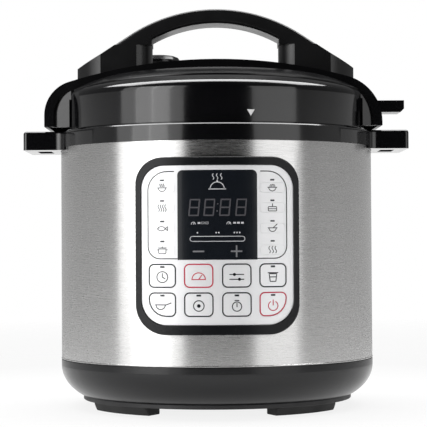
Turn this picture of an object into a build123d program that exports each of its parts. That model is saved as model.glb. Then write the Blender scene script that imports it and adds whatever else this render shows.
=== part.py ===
from build123d import *
from math import asin, cos, degrees, hypot, radians, sin, sqrt, tan
import os

# Electric pressure cooker, about six litres, in millimetres.
# Origin: on the axis of the pot, at the floor. +Z up, the control panel faces -Y.

# ---- Driving dimensions -------------------------------------------------------------------------

# Housing, bottom to top
FOOT_TOP = 6.6            # feet stand on z = 0 and meet the base plate here
FOOT_IN = 92.0
FOOT_OUT = 111.5          # outer radius on the floor; the side leans out to the plate's edge
FOOT_HALF_SPAN = 17.7     # degrees
FEET_TURN = -2.7          # degrees, the feet's pattern is clocked a little against the panel
PLATE_R = 115.7           # base plate
PLATE_TOP = 9.9
BASE_R = 134.6            # base shell
BASE_CURVE_Z = 36.0       # where its side starts to curve in
BASE_CURVE_A = 45.0
BASE_CURVE_B = 32.0
BASE_WALL = 2.6
BASE_GAP = 0.7            # dark line between the base and the band
BAND_R = 134.4            # stainless band
BAND_WALL = 0.6
BAND_LOW = 41.8
BAND_HIGH = 221.8
BEAD_R = 0.55             # rolled bead along the band's lower edge
COLLAR_R = 135.6
COLLAR_TOP = 235.4
TROUGH_R = 126.0          # the collar's inner wall, round the lid's skirt
TROUGH_FLOOR = 228.0
GRIP_END = 163.8          # side handles
GRIP_HALF = 38.0
GRIP_LOW = 219.6
GRIP_CORNER = 3.0
GRIP_BLEND = 9.0          # radius where a handle's flanks run into the collar
SLOT_X = 148.0            # slot in each side handle that takes the lid's stand tab
SLOT_WIDE = 12.0
SLOT_LONG = 30.0

# Pots and heater
POT_R = 110.0             # inside of the removable pot
POT_WALL = 1.0
POT_FLOOR = 64.0          # underside of the removable pot, on the heater plate
POT_RIM = 239.8
OUTER_POT_R = 113.0
OUTER_POT_WALL = 1.5
OUTER_POT_FLOOR = 58.0
OUTER_POT_RIM = 238.5
HEATER_R = 99.5
HEATER_LOW = 54.0
SENSOR_R = 16.5
LUGS = 6                  # bayonet lugs on the outer pot and under the lid
LUG_SPAN = 22.0           # degrees

# Lid
LID_R = 130.0
LID_LOW = 237.0
LID_TOP = 286.3
LID_CROWN_R = 2500.0      # the lid's profile: nearly flat crown, falling part, shoulder, straight wall
LID_CROWN_END = 70.0
LID_FALL_R = 125.0
LID_SHOULDER = 8.0
LID_LIP_R = 125.7         # inner lip that hangs behind the collar's rim
LID_LIP_LOW = 233.5
LID_WALL = 2.5
LID_PLATE_Z = 254.0       # underside of the steel plate
STRAP_HALF = 43.0         # strap across the lid, half its width
STRAP_TOP = 296.0
STRAP_ARC_R = 420.0       # radius of its top line
EAR_ENDS = {-1: 145.4, 1: 140.9}   # how far its ears reach to the left and to the right
EAR_RADII = {-1: 29.5, 1: 40.0}    # radii of the arcs that end it
EAR_LOW = 239.0
EAR_RIM = 7.9             # width of the raised rim round an ear
EAR_SLANT = 16.0          # degrees, how an ear's face turns back inside its rim
CAP_ARC_R = 137.0         # the cap under the strap has an outline of two arcs
CAP_ARC_Y = 23.0          # their centres
CAP_THICK = 0.8
TAB_END = 162.8           # stand tab on the right ear
TAB_HALF = 13.0
TAB_LOW = 252.4
TAB_HIGH = 262.5
HANDLE_END = 120.6        # point of the pointed ends, before rounding
HANDLE_FLAT = (68.2, 99.3)         # flat front of a post, from its inner to its outer edge
HANDLE_BOW = 47.0         # radius of the flanks that run from there to the point
HANDLE_HALF = 18.0
HANDLE_TOP = 341.9
HANDLE_ARC_R = 135.1
HANDLE_ARC_X = 74.2       # where the arc turns into the straight slopes
HANDLE_SLOPE = 33.2       # degrees, down to the end of the flat front
HANDLE_END_SLOPE = 28.1   # degrees, from there to the point
HANDLE_SPLIT = 311.4      # the posts end and the arch begins
OPENING_HALF = 54.7
OPENING_SIDE = 315.5
OPENING_TOP = 329.8
VALVE_X = -52.0
VALVE_Y = 65.5
VALVE_R = 20.0
VALVE_TOP = 310.6
FLOAT_X = 8.0
FLOAT_Y = 72.0

# Control panel: pieces cut along Y out of shells about the cooker's axis
PANEL_FRONT = 140.5       # radius of the frame's front
FACE_FRONT = 139.3        # radius of the face's front
FACE_BACK = 135.3
FRAME = (-65.2, 65.2, 67.5, 208.3)
FRAME_EDGE = 0.6          # bevel along the frame's inner and outer edges
FACE = (-60.5, 60.5, 75.4, 201.5)
WINDOW = (-31.55, 31.55, 126.8, 197.8)
KEY_GAP = 0.12            # round every key
KEY_CORNER = 4.4
KEY_CUT = 14.0            # the lower row's outermost corners
KEY_COLUMNS = ((-54.8, -32.8), (-26.7, -3.3), (3.3, 26.8), (32.8, 54.8))
KEY_ROWS = ((104.7, 123.9), (81.8, 101.3))
KEY_NAMES = (
    ("key_slow_cook", "key_pressure", "key_adjust", "key_yogurt"),
    ("key_saute", "key_manual", "key_timer", "key_cancel"),
)
KEYS_WITHOUT_LENS = ("key_pressure", "key_adjust")
SIDE_KEY_X = 43.7
SIDE_KEY_Z = (183.7, 167.9, 151.6, 134.5)
SIDE_KEY_HALF = (10.0, 3.9)
SIDE_LENS_Z = (189.9, 173.6, 157.3, 141.5)
SIDE_KEY_NAMES = (
    ("key_soup", "key_pasta", "key_fish", "key_stew"),
    ("key_rice", "key_cake", "key_porridge", "key_steam"),
)
ADJUST_KEY_X = 15.0
ADJUST_KEY_Z = 133.5
ADJUST_KEY_HALF = (7.0, 4.6)
LENS_HALF = (1.7, 0.65)
LENS_DROP = 2.6           # from a key's top edge to its lens
BOARD_FRONT = -117.6      # y of the control board's front

# Rear
CUP_HALF = 26.5
CUP_BACK = 136.2
CUP_FRONT = 145.2
CUP_LOW = 168.0
CUP_HIGH = 206.0
INLET_HALF = 15.5
INLET_LOW = 15.5
INLET_HIGH = 38.5
INLET_FACE = 134.6


# ---- Shared shapes ------------------------------------------------------------------------------

def turned(*points):
    """A solid of revolution about Z from (r, z) points."""
    return revolve(make_face(Plane.XZ * Polyline(*points, close=True)), Axis.Z)


def tube(inner, outer, low, high):
    return turned((inner, low), (outer, low), (outer, high), (inner, high))


def disc(radius, low, high, x=0.0, y=0.0):
    return Pos(x, y, (low + high) / 2) * Cylinder(radius, high - low)


def block(x_span, y_span, z_span):
    size = [high - low for low, high in (x_span, y_span, z_span)]
    middle = [(high + low) / 2 for low, high in (x_span, y_span, z_span)]
    return Pos(*middle) * Box(*size)


def along_y(sketch, low, high):
    """Extrude a sketch drawn in X and Z from y = low to y = high."""
    return Pos(0, high, 0) * extrude(Plane.XZ * sketch, high - low)


def rounded(left, right, low, high, radii):
    """Rectangle with one radius per corner: bottom left, bottom right, top right, top left."""
    sketch = Pos((left + right) / 2, (low + high) / 2) * Rectangle(right - left, high - low)
    corners = ((left, low), (right, low), (right, high), (left, high))
    for corner, radius in zip(corners, radii):
        if radius > 0:
            sketch = fillet(sketch.vertices().sort_by_distance(corner)[0], radius)
    return sketch


def grown(box, by):
    left, right, low, high = box
    return (left - by, right + by, low - by, high + by)


def sector(inner, outer, low, high, middle, half_span):
    """A piece of a ring, half_span degrees each side of the direction middle."""
    outline = Polyline((inner, low), (outer, low), (outer, high), (inner, high), close=True)
    ring = make_face(Plane.XZ * outline)
    return Rot(0, 0, middle - half_span) * revolve(ring, Axis.Z, revolution_arc=2 * half_span)


def around(shape, count, start=0.0):
    return [Rot(0, 0, start + 360.0 * i / count) * shape for i in range(count)]


def polar(radius, angle):
    return radius * cos(radians(angle)), radius * sin(radians(angle))


def bowl(radius, a, b, low, high):
    """A solid bowl: straight side, then an elliptic curve in to a flat bottom."""
    angle = degrees(asin((BASE_CURVE_Z - low) / b))
    curve = EllipticalCenterArc((radius - a, BASE_CURVE_Z), a, b, start_angle=-angle, arc_size=angle)
    foot = curve @ 0
    outline = Line((0, low), foot) + curve
    outline += Polyline((radius, BASE_CURVE_Z), (radius, high), (0, high), (0, low))
    return revolve(make_face(Plane.XZ * outline), Axis.Z)


def lid_form(inset, low):
    """The lid's outer form as a full solid, moved inwards by inset."""
    crown_z = LID_TOP - LID_CROWN_R
    crown_lean = asin(LID_CROWN_END / LID_CROWN_R)
    fall_r = LID_CROWN_END - LID_FALL_R * sin(crown_lean)
    fall_z = crown_z + (LID_CROWN_R - LID_FALL_R) * cos(crown_lean)
    wall_r = LID_R - LID_SHOULDER
    wall_z = fall_z + sqrt((LID_FALL_R - LID_SHOULDER) ** 2 - (wall_r - fall_r) ** 2)
    fall_lean = asin((wall_r - fall_r) / (LID_FALL_R - LID_SHOULDER))

    def along(r, z, radius, lean):
        return r + (radius - inset) * sin(lean), z + (radius - inset) * cos(lean)

    top = (0, LID_TOP - inset)
    crown_mid = along(0, crown_z, LID_CROWN_R, crown_lean / 2)
    crown_end = along(0, crown_z, LID_CROWN_R, crown_lean)
    fall_mid = along(fall_r, fall_z, LID_FALL_R, (crown_lean + fall_lean) / 2)
    fall_end = along(fall_r, fall_z, LID_FALL_R, fall_lean)
    shoulder_mid = along(wall_r, wall_z, LID_SHOULDER, (fall_lean + radians(90)) / 2)
    wall_top = (LID_R - inset, wall_z)
    outline = (
        Polyline(top, (0, low), (LID_R - inset, low), wall_top)
        + ThreePointArc(wall_top, shoulder_mid, fall_end)
        + ThreePointArc(fall_end, fall_mid, crown_end)
        + ThreePointArc(crown_end, crown_mid, top)
    )
    return revolve(make_face(Plane.XZ * outline), Axis.Z)


def shell_slice(sketch, inner, outer):
    """What a sketch in X and Z cuts out of a shell about the axis, on the panel's side."""
    return along_y(sketch, -outer - 5, -60) & tube(inner, outer, 60, 215)


# ---- Housing ------------------------------------------------------------------------------------

BASE_SCREWS = [polar(100, 90 * i) for i in range(4)]
BOARD_POSTS = [(x, y) for x in (-72, -18) for y in (-36, 36)]


def base_shell():
    shell = bowl(BASE_R, BASE_CURVE_A, BASE_CURVE_B, PLATE_TOP, BAND_LOW - BASE_GAP)
    curve_a, curve_b = BASE_CURVE_A - BASE_WALL, BASE_CURVE_B - BASE_WALL
    shell -= bowl(BASE_R - BASE_WALL, curve_a, curve_b, PLATE_TOP + 3, BAND_LOW)
    shell -= disc(90, 0, 20)
    shell += tube(BAND_R - 3.4, BAND_R - 0.8, 34, 50)
    for x, y in BASE_SCREWS:
        shell += disc(5, PLATE_TOP + 1, 24, x, y)
        shell -= disc(1.7, 0, 22, x, y)
    opening = block((-INLET_HALF - 0.1, INLET_HALF + 0.1), (95, 150), (INLET_LOW - 0.1, INLET_HIGH + 0.1))
    shell -= opening
    return shell


def bottom_plate():
    plate = disc(PLATE_R, FOOT_TOP, PLATE_TOP)
    plate = chamfer(plate.edges().filter_by(GeomType.CIRCLE).group_by(Axis.Z)[0], 0.4)
    slot = block((34, 66), (-1.8, 1.8), (0, 20))
    for cut in around(slot, 12, 15):
        plate -= cut
    for x, y in BASE_SCREWS:
        plate -= disc(4.2, 0, 8.2, x, y) + disc(2.0, 0, 20, x, y)
    for x, y in BOARD_POSTS:
        plate += disc(3.2, PLATE_TOP - 0.5, 18, x, y)
    return plate


def feet():
    foot = sector(FOOT_IN, PLATE_R, 0, FOOT_TOP, 45 + FEET_TURN, FOOT_HALF_SPAN)
    foot = fillet(foot.edges().filter_by(Axis.Z), 5.5)
    foot &= turned((0, 0), (FOOT_OUT, 0), (PLATE_R - 0.4, FOOT_TOP), (0, FOOT_TOP))
    foot = fillet(foot.faces().sort_by(Axis.Z)[0].edges(), 0.8)
    return Compound(around(foot, 4))


def base_screws():
    screws = [disc(3.8, 5.8, 8.2, x, y) + disc(1.6, 8, 21.5, x, y) for x, y in BASE_SCREWS]
    return Compound(screws)


def housing_band():
    band = tube(BAND_R - BAND_WALL, BAND_R, BAND_LOW + BEAD_R, BAND_HIGH)
    band += Pos(0, 0, BAND_LOW + BEAD_R + 0.02) * Torus(BAND_R - 0.15, BEAD_R)
    opening = rounded(*grown(FRAME, -3.1), (21, 21, 18.5, 18.5))
    return band - along_y(opening, -150, -60)


def side_grip(low, high, hole_r, inset=0.0):
    """The +X side handle's block, moved inwards by inset and cleared inside radius hole_r."""
    end = GRIP_END - inset
    plan = Circle(COLLAR_R - inset) + Pos(end / 2, 0) * Rectangle(end, 2 * (GRIP_HALF - inset))
    by_x = plan.vertices().group_by(Axis.X)
    plan = fillet(by_x[-1], max(GRIP_CORNER - inset, 0.5))
    meet_x = sqrt((COLLAR_R - inset) ** 2 - (GRIP_HALF - inset) ** 2)
    plan = fillet([v for v in plan.vertices() if abs(v.X - meet_x) < 0.1], GRIP_BLEND + inset)
    grip = Pos(0, 0, low) * extrude(plan, high - low)
    return (grip - disc(hole_r, low - 1, high + 1)) & block((100, 200), (-90, 90), (low, high))


def grip_slot():
    half_wide, half_long = SLOT_WIDE / 2, SLOT_LONG / 2
    return block((SLOT_X - half_wide, SLOT_X + half_wide), (-half_long, half_long), (200, 260))


def collar():
    grip = side_grip(BAND_HIGH, COLLAR_TOP, TROUGH_R + 4)
    rim = [edge for edge in grip.faces().sort_by(Axis.Z)[-1].edges() if edge.center().X > 140]
    grip = fillet(rim, 2.4)
    grip -= side_grip(BAND_HIGH - 1, COLLAR_TOP - 3, COLLAR_R + 2.5, 3)
    grip += block((SLOT_X - 9, SLOT_X + 9), (-18, 18), (BAND_HIGH, COLLAR_TOP - 2))
    grip -= grip_slot()
    ring = turned(
        (116.2, TROUGH_FLOOR - 3), (BAND_R - 3.2, TROUGH_FLOOR - 3), (BAND_R - 3.2, 213), (BAND_R - 0.8, 213),
        (BAND_R - 0.8, BAND_HIGH), (COLLAR_R, BAND_HIGH), (COLLAR_R - 0.2, COLLAR_TOP - 0.8),
        (COLLAR_R - 1, COLLAR_TOP), (TROUGH_R + 0.6, COLLAR_TOP), (TROUGH_R, COLLAR_TOP - 0.6),
        (TROUGH_R, TROUGH_FLOOR), (116.2, TROUGH_FLOOR),
    )
    whole = ring + grip + Rot(0, 0, 180) * grip
    for x, y in COLLAR_SCREWS:
        whole -= disc(1.3, TROUGH_FLOOR - 4, TROUGH_FLOOR + 1, x, y)
    return whole


def handle_covers():
    reach = GRIP_HALF + GRIP_BLEND * 0.6
    cover = side_grip(GRIP_LOW, BAND_HIGH, BAND_R + 0.4)
    cover &= block((100, 200), (-reach, reach), (GRIP_LOW, BAND_HIGH))
    cover -= grip_slot()
    return Compound([cover, Rot(0, 0, 180) * cover])


COLLAR_SCREWS = [polar(120.6, 30 + 60 * i) for i in range(6)]


def collar_screws():
    flange_top = TROUGH_FLOOR + 1.5
    screws = [disc(2.5, flange_top, flange_top + 1.5, x, y) for x, y in COLLAR_SCREWS]
    shanks = [disc(1.2, TROUGH_FLOOR - 2.8, flange_top + 1, x, y) for x, y in COLLAR_SCREWS]
    return Compound([head + shank for head, shank in zip(screws, shanks)])


# ---- Pots, heater and what is under them --------------------------------------------------------

def outer_pot():
    out = OUTER_POT_R + OUTER_POT_WALL
    pot = turned(
        (HEATER_R + 0.5, OUTER_POT_FLOOR), (out, OUTER_POT_FLOOR), (out, TROUGH_FLOOR),
        (TROUGH_R - 0.5, TROUGH_FLOOR), (TROUGH_R - 0.5, TROUGH_FLOOR + 1.5),
        (out, TROUGH_FLOOR + 1.5), (out, OUTER_POT_RIM - 2.5),
        (118, OUTER_POT_RIM - 2.5), (118, OUTER_POT_RIM), (OUTER_POT_R, OUTER_POT_RIM),
        (OUTER_POT_R, OUTER_POT_FLOOR + 1.5), (HEATER_R + 0.5, OUTER_POT_FLOOR + 1.5),
    )
    lug = sector(117, 122, OUTER_POT_RIM - 2.5, OUTER_POT_RIM, 0, LUG_SPAN / 2)
    for piece in around(lug, LUGS):
        pot += piece
    for x, y in COLLAR_SCREWS:
        pot -= disc(1.4, TROUGH_FLOOR - 1, TROUGH_FLOOR + 2, x, y)
    return pot


def inner_pot():
    outside = disc(POT_R + POT_WALL, POT_FLOOR, POT_RIM)
    outside = fillet(outside.edges().sort_by(Axis.Z)[0], 13)
    inside = disc(POT_R, POT_FLOOR + 1.2, POT_RIM + 5)
    inside = fillet(inside.edges().sort_by(Axis.Z)[0], 12)
    rim = turned(
        (POT_R, POT_RIM - 1), (115.5, POT_RIM - 1), (116, POT_RIM - 0.5), (115.5, POT_RIM), (POT_R, POT_RIM),
    )
    return outside + rim - inside


def heater_plate():
    plate = disc(HEATER_R, HEATER_LOW, POT_FLOOR) + disc(107, HEATER_LOW, OUTER_POT_FLOOR)
    for radius in (40, 55, 70, 85):
        plate -= tube(radius - 0.8, radius + 0.8, POT_FLOOR - 0.8, POT_FLOOR + 1)
    return plate - disc(SENSOR_R + 0.8, 0, 90)


def heating_element():
    ring_z = HEATER_LOW - 4.05
    section = Plane.XZ * Pos(70, ring_z) * Circle(4)
    ring = Rot(0, 0, 20) * revolve(section, Axis.Z, revolution_arc=320)
    for angle in (20, -20):
        x, y = polar(70, angle)
        ring += disc(4, 41, ring_z, x, y) + disc(1.6, 35, 42, x, y)
    return ring


def sensor_bracket():
    cup = disc(SENSOR_R + 3.3, 36, HEATER_LOW)
    cup -= disc(SENSOR_R + 1.8, 37.5, HEATER_LOW + 1) + disc(4.2, 30, 40)
    for piece in around(block((17, 32), (-5, 5), (HEATER_LOW - 1.5, HEATER_LOW)), 3, 90):
        cup += piece - disc(SENSOR_R + 2.5, 30, 60)
    return cup


def sensor_plunger():
    cap = fillet(disc(SENSOR_R, 58, POT_FLOOR - 0.1).edges().sort_by(Axis.Z)[-1], 1.2)
    skirt = tube(SENSOR_R - 1.2, SENSOR_R, 50, 59)
    return cap + skirt + disc(3.9, 33, 59)


def sensor_spring():
    low, high, turns, wire = 38.5, 57.0, 4, 0.7
    path = Pos(0, 0, low) * Helix((high - low) / turns, high - low, 11)
    section = Plane(origin=path @ 0, z_dir=path % 0) * Circle(wire)
    return sweep(section, path)


def pressure_switch():
    body = block((28, 52), (-9, 9), (30, 44)) + block((33, 37), (-3, 3), (43, 46.5))
    leaf = block((24, 58), (-4, 4), (46.5, 47.3)) + block((54, 58), (-4, 4), (22, 47))
    return body + leaf + block((30, 58), (-9, 9), (27, 30.5)) + block((36, 44), (-5, 5), (PLATE_TOP, 28))


def power_board():
    board = block((-76, -14), (-40, 40), (18, 19.6))
    parts = [
        block((-72, -44), (-30, -4), (19.6, 38)), block((-40, -22), (-34, -18), (19.6, 35)),
        block((-70, -52), (6, 24), (19.6, 34)), disc(6, 19.6, 36, -36, 0), disc(4.5, 19.6, 32, -24, 18),
        block((-46, -22), (28, 38), (19.6, 30)),
    ]
    for part in parts:
        board += part
    return board


def control_board():
    back = BOARD_FRONT + 1.6
    board = block((-52, 52), (BOARD_FRONT, back), (78, 198))
    for x, z in key_centres().values():
        board += block((x - 3, x + 3), (BOARD_FRONT - 3, BOARD_FRONT + 0.5), (z - 3, z + 3))
    return board


def display_module():
    low, high = 140.0, 182.0
    module = block((-27, 27), (BOARD_FRONT - 9, BOARD_FRONT), (low, high))
    for x in (-18.2, -6.3, 6.1, 18.8):
        module -= block((x - 4.4, x + 4.4), (-140, BOARD_FRONT - 8.4), (161.3, 174.9))
    return module


def wire(points):
    """An insulated wire from one terminal to another, with an even bend at each corner."""
    path = FilletPolyline(*points, radius=4)
    section = Plane(origin=path @ 0, z_dir=path % 0) * Circle(1.3)
    return sweep(section, path)


def wire_harness():
    runs = [
        wire([(-7, 104.2, 24.5), (-7, 86, 24.5), (-34, 64, 25), (-34, 38.1, 25)]),
        wire([(7, 104.2, 24.5), (7, 88, 24.5), (66, 56, 24.5), (65.8, 23.9, 26), (65.8, 23.9, 34.9)]),
        wire([(0, 104.2, 29.5), (0, 84, 29.5), (-84, 58, 27), (-84, -17, 26), (-72.1, -17, 26)]),
        wire([(65.8, -23.9, 34.9), (65.8, -23.9, 24), (24, -56, 24), (-31, -56, 25), (-31, -34.1, 25)]),
        wire([(-58, -30.1, 27), (-58, -78, 27), (-40, -116.8, 44), (-40, -116.8, 77.9)]),
    ]
    return Compound(runs)


# ---- Control panel ------------------------------------------------------------------------------

def key_outlines():
    """Name to sketch of every key's own outline."""
    outlines = {}
    for row, (low, high) in enumerate(KEY_ROWS):
        for column, (left, right) in enumerate(KEY_COLUMNS):
            radii = [KEY_CORNER] * 4
            if row == 1 and column == 0:
                radii[0] = KEY_CUT
            if row == 1 and column == 3:
                radii[1] = KEY_CUT
            outlines[KEY_NAMES[row][column]] = (left, right, low, high, radii)
    for side, names in zip((-1, 1), SIDE_KEY_NAMES):
        for name, z in zip(names, SIDE_KEY_Z):
            outlines[name] = pad_outline(side * SIDE_KEY_X, z, SIDE_KEY_HALF, 2.5)
    outlines["key_minus"] = pad_outline(-ADJUST_KEY_X, ADJUST_KEY_Z, ADJUST_KEY_HALF, 2.0)
    outlines["key_plus"] = pad_outline(ADJUST_KEY_X, ADJUST_KEY_Z, ADJUST_KEY_HALF, 2.0)
    return outlines


def pad_outline(x, z, half, corner):
    return (x - half[0], x + half[0], z - half[1], z + half[1], [corner] * 4)


def key_centres():
    return {name: ((o[0] + o[1]) / 2, (o[2] + o[3]) / 2) for name, o in key_outlines().items()}


def outline_face(outline, by):
    left, right, low, high, radii = outline
    return rounded(left - by, right + by, low - by, high + by, [radius + by for radius in radii])


def lens_places():
    places = [(side * SIDE_KEY_X, z) for side in (-1, 1) for z in SIDE_LENS_Z]
    for row, (low, high) in enumerate(KEY_ROWS):
        for column, (left, right) in enumerate(KEY_COLUMNS):
            if KEY_NAMES[row][column] not in KEYS_WITHOUT_LENS:
                places.append(((left + right) / 2, high - LENS_DROP))
    return places


def lens_face(x, z, by):
    half_x, half_z = [half + by for half in LENS_HALF]
    return rounded(x - half_x, x + half_x, z - half_z, z + half_z, [0.4] * 4)


def panel_frame():
    bezel = shell_slice(rounded(*FRAME, (24, 24, 21.5, 21.5)), BAND_R + 0.05, PANEL_FRONT)
    bezel -= along_y(rounded(*FACE, (20, 20, 18, 18)), -150, -60)
    front = [edge for edge in bezel.edges() if abs(hypot((edge @ 0.5).X, (edge @ 0.5).Y) - PANEL_FRONT) < 0.01]
    bezel = chamfer(front, FRAME_EDGE)
    neck = shell_slice(rounded(*grown(FRAME, -3.2), (20.9, 20.9, 18.4, 18.4)), 129.5, FACE_BACK - 0.05)
    neck -= along_y(rounded(*grown(FACE, -2), (18, 18, 16, 16)), -150, -60)
    neck -= along_y(rounded(*FACE, (20, 20, 18, 18)), -150, -60) & tube(FACE_BACK - 0.05, 160, 60, 215)
    return bezel + neck


def panel_face():
    face = shell_slice(rounded(*grown(FACE, -0.05), (20, 20, 18, 18)), FACE_BACK, FACE_FRONT)
    face -= along_y(rounded(*WINDOW, (0.3, 0.3, 4, 4)), -150, -60)
    for name, outline in key_outlines().items():
        if name not in ("key_minus", "key_plus"):
            face -= along_y(outline_face(outline, 0), -150, -60)
    for x, z in lens_places()[:8]:
        face -= along_y(lens_face(x, z, 0.02), -150, -60)
    return face


def display_window():
    window = shell_slice(rounded(*grown(WINDOW, -0.03), (0.3, 0.3, 4, 4)), FACE_BACK, FACE_FRONT)
    for name in ("key_minus", "key_plus"):
        window -= along_y(outline_face(key_outlines()[name], 0), -150, -60)
    return window


def indicator_lenses():
    lens = [shell_slice(lens_face(x, z, 0), 131.0, FACE_FRONT) for x, z in lens_places()]
    return Compound([piece.solids()[0] for piece in lens])


def key(name):
    outline = key_outlines()[name]
    pad = shell_slice(outline_face(outline, -KEY_GAP), FACE_BACK - 0.4, FACE_FRONT)
    flange = shell_slice(outline_face(outline, 0.8), FACE_BACK - 1.3, FACE_BACK - 0.3)
    x, z = key_centres()[name]
    stem = along_y(Pos(x, z) * Circle(1.8), -FACE_BACK, BOARD_FRONT - 4) & disc(FACE_BACK - 0.5, 60, 215)
    body = pad + flange + stem
    for lens_x, lens_z in lens_places()[8:]:
        if abs(lens_x - x) < 1 and abs(lens_z - z) < 12:
            body -= along_y(lens_face(lens_x, lens_z, 0.15), -150, -60)
    return body


# ---- Lid ----------------------------------------------------------------------------------------

LID_SCREWS = [(x, y) for x in (-78, 78) for y in (-24, 24)]


def ear_centre(side):
    """Centre of the arc that ends the strap, tangent to its top line."""
    x = EAR_ENDS[side] - EAR_RADII[side]
    return x, STRAP_TOP - STRAP_ARC_R + sqrt((STRAP_ARC_R - EAR_RADII[side]) ** 2 - x ** 2)


def strap_outline(inset):
    """The strap's outline in X and Z, from ear to ear, moved inwards by inset."""
    low = EAR_LOW - (5 if inset else 0)
    meets, ends = [], []
    edges = Curve()
    for side in (-1, 1):
        x, z = ear_centre(side)
        bend = EAR_RADII[side] - inset
        turn = asin(x / (STRAP_ARC_R - EAR_RADII[side]))
        middle = (radians(90) + turn) / 2
        meets.append((side * (x + bend * sin(turn)), z + bend * cos(turn)))
        ends.append((side * (x + bend), z))
        edges += ThreePointArc(meets[-1], (side * (x + bend * sin(middle)), z + bend * cos(middle)), ends[-1])
    edges += ThreePointArc(meets[0], (0, STRAP_TOP - inset), meets[1])
    edges += Polyline(ends[0], (ends[0][0], low), (ends[1][0], low), ends[1])
    return make_face(edges)


def lid_cover():
    cover = lid_form(0, LID_LOW) - lid_form(LID_WALL, LID_LOW - 1)
    cover += turned(
        (LID_LIP_R - 1.2, LID_LIP_LOW), (LID_LIP_R, LID_LIP_LOW), (LID_LIP_R, LID_LOW + 4),
        (LID_R - 2, LID_LOW + 4), (LID_R - 2, LID_LOW + 6), (LID_LIP_R - 1.2, LID_LOW + 6),
    )
    inside = lid_form(LID_WALL - 0.5, LID_LOW)
    for x, y in LID_SCREWS:
        cover += disc(5, LID_PLATE_Z + 1.2, 290, x, y) & inside
        cover -= disc(2.1, LID_PLATE_Z, 272, x, y)
    cover += tube(12, 14, 276, 288).moved(Location((VALVE_X, VALVE_Y, 0))) - lid_form(1, LID_LOW)
    cover += block((118.4, 122.3), (-54.5, -STRAP_HALF - 0.5), (250, 260)) - lid_form(0.5, 200)
    cover -= disc(4.8, 240, 300, VALVE_X, VALVE_Y)
    cover -= disc(4.7, 240, 300, FLOAT_X, FLOAT_Y)
    return cover


def ear_face(side, grow):
    """The part of an ear inside its rim, in X and Z."""
    x, z = ear_centre(side)
    radius = EAR_RADII[side] - EAR_RIM + grow
    low = EAR_LOW - 10
    return Pos(side * x, z) * Circle(radius) + Pos(side * x, (low + z) / 2) * Rectangle(2 * radius, z - low)


def lid_strap():
    strap = along_y(strap_outline(0), -STRAP_HALF, STRAP_HALF)
    hollow = along_y(strap_outline(3), 3 - STRAP_HALF, STRAP_HALF - 3)
    wall_x = sqrt(LID_R ** 2 - STRAP_HALF ** 2)
    for face in (-1, 1):
        groove = block((-150, 150), sorted((face * (STRAP_HALF - 4), face * (STRAP_HALF + 10))), (230, 262))
        strap -= lid_form(-1.3, 200) & groove
        ahead = block((-60, 60), sorted((0, face * 40)), (200, 320))
        for side in (-1, 1):
            span = sorted((face * (STRAP_HALF - 7.5), face * (STRAP_HALF + 1)))
            hollow -= along_y(ear_face(side, 2), *span)
            slanted = Pos(side * wall_x, face * STRAP_HALF) * Rot(0, 0, -side * face * EAR_SLANT) * ahead
            strap -= along_y(ear_face(side, 0), *span) & slanted
    strap -= hollow
    strap -= lid_form(0, 200)
    oval = Pos(0, CAP_ARC_Y) * Circle(CAP_ARC_R) & Pos(0, -CAP_ARC_Y) * Circle(CAP_ARC_R)
    cap = (lid_form(-CAP_THICK, 262) - lid_form(0, 200)) & extrude(oval, 320)
    cap -= disc(14.3, 260, 320, VALVE_X, VALVE_Y) + disc(5.6, 260, 320, FLOAT_X, FLOAT_Y)
    tab = block((EAR_ENDS[1] - 5.4, TAB_END), (-TAB_HALF, TAB_HALF), (TAB_LOW, TAB_HIGH))
    tab = chamfer(tab.edges().filter_by(Axis.Y).group_by(Axis.X)[-1].sort_by(Axis.Z)[0], 3)
    return strap + cap + tab


def handle_outline():
    """The handle's outer outline in X and Z; its slopes run on past the ends."""
    slope_z = HANDLE_TOP - HANDLE_ARC_R + sqrt(HANDLE_ARC_R ** 2 - HANDLE_ARC_X ** 2)
    bend = HANDLE_FLAT[1]
    bend_z = slope_z - (bend - HANDLE_ARC_X) * tan(radians(HANDLE_SLOPE))
    far = HANDLE_END + 10
    far_z = bend_z - (far - bend) * tan(radians(HANDLE_END_SLOPE))
    outline = ThreePointArc((-HANDLE_ARC_X, slope_z), (0, HANDLE_TOP), (HANDLE_ARC_X, slope_z))
    outline += Polyline(
        (HANDLE_ARC_X, slope_z), (bend, bend_z), (far, far_z), (far, 250),
        (-far, 250), (-far, far_z), (-bend, bend_z), (-HANDLE_ARC_X, slope_z),
    )
    return make_face(outline)


def post_plan():
    """Plan of the +X post: flat front and back, bowed flanks to a point outside, one arc inside."""
    inner, outer = HANDLE_FLAT
    chord = hypot(HANDLE_END - outer, HANDLE_HALF)
    rise = HANDLE_BOW - sqrt(HANDLE_BOW ** 2 - (chord / 2) ** 2)
    bow_x = (outer + HANDLE_END) / 2 + rise * HANDLE_HALF / chord
    bow_y = HANDLE_HALF / 2 + rise * (HANDLE_END - outer) / chord
    outline = (
        ThreePointArc((inner, -HANDLE_HALF), (OPENING_HALF, 0), (inner, HANDLE_HALF))
        + Line((inner, HANDLE_HALF), (outer, HANDLE_HALF))
        + ThreePointArc((outer, HANDLE_HALF), (bow_x, bow_y), (HANDLE_END, 0))
        + ThreePointArc((HANDLE_END, 0), (bow_x, -bow_y), (outer, -HANDLE_HALF))
        + Line((outer, -HANDLE_HALF), (inner, -HANDLE_HALF))
    )
    plan = make_face(outline)
    return fillet(plan.vertices().group_by(Axis.X)[-1], 1.5)


def handle_posts():
    column = Pos(0, 0, 260) * extrude(post_plan(), HANDLE_SPLIT - 260)
    post = column & along_y(handle_outline(), -30, 30)
    strap = along_y(strap_outline(0), -STRAP_HALF, STRAP_HALF)
    return Compound([post - strap, Rot(0, 0, 180) * post - strap])


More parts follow.
